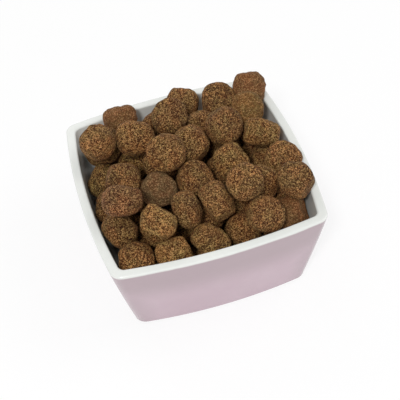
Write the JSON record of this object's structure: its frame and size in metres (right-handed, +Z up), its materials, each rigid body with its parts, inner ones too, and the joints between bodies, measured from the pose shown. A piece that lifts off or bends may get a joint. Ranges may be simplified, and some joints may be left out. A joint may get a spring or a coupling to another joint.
{
  "type": "bowl of dry pet food",
  "caption": "Square glazed ceramic bowl with bowed tapering sides, heaped with loose round pieces of brown dry pet food.",
  "frame": {"origin": "middle of the foot, on the surface that the bowl stands on", "axes": "+Z up, +X to the right along the front side, +Y from the front side to the back side"},
  "size_m": [0.1, 0.1, 0.0683],
  "materials": {
    "glaze": "gloss white glaze inside and on the rim, pale mauve outside",
    "kibble": "coarse brown baked grain"
  },
  "bodies": {
    "root": {"bowl": "glaze", "kibble_below": "kibble", "kibble_01": "kibble", "kibble_02": "kibble", "kibble_03": "kibble", "kibble_04": "kibble", "kibble_05": "kibble", "kibble_06": "kibble", "kibble_07": "kibble", "kibble_08": "kibble", "kibble_09": "kibble", "kibble_10": "kibble", "kibble_11": "kibble", "kibble_12": "kibble", "kibble_13": "kibble", "kibble_14": "kibble", "kibble_15": "kibble", "kibble_16": "kibble", "kibble_17": "kibble", "kibble_18": "kibble", "kibble_19": "kibble", "kibble_20": "kibble", "kibble_21": "kibble", "kibble_22": "kibble", "kibble_23": "kibble", "kibble_24": "kibble", "kibble_25": "kibble", "kibble_26": "kibble", "kibble_27": "kibble", "kibble_28": "kibble", "kibble_29": "kibble", "kibble_30": "kibble", "kibble_31": "kibble", "kibble_32": "kibble", "kibble_33": "kibble", "kibble_34": "kibble", "kibble_35": "kibble", "kibble_36": "kibble", "kibble_37": "kibble", "kibble_38": "kibble", "kibble_39": "kibble", "kibble_40": "kibble", "kibble_41": "kibble", "kibble_42": "kibble", "kibble_43": "kibble", "kibble_44": "kibble", "kibble_45": "kibble", "kibble_46": "kibble", "kibble_47": "kibble", "kibble_48": "kibble", "kibble_49": "kibble", "kibble_50": "kibble", "kibble_51": "kibble", "kibble_52": "kibble", "kibble_53": "kibble", "kibble_54": "kibble"}
  },
  "joints": []
}
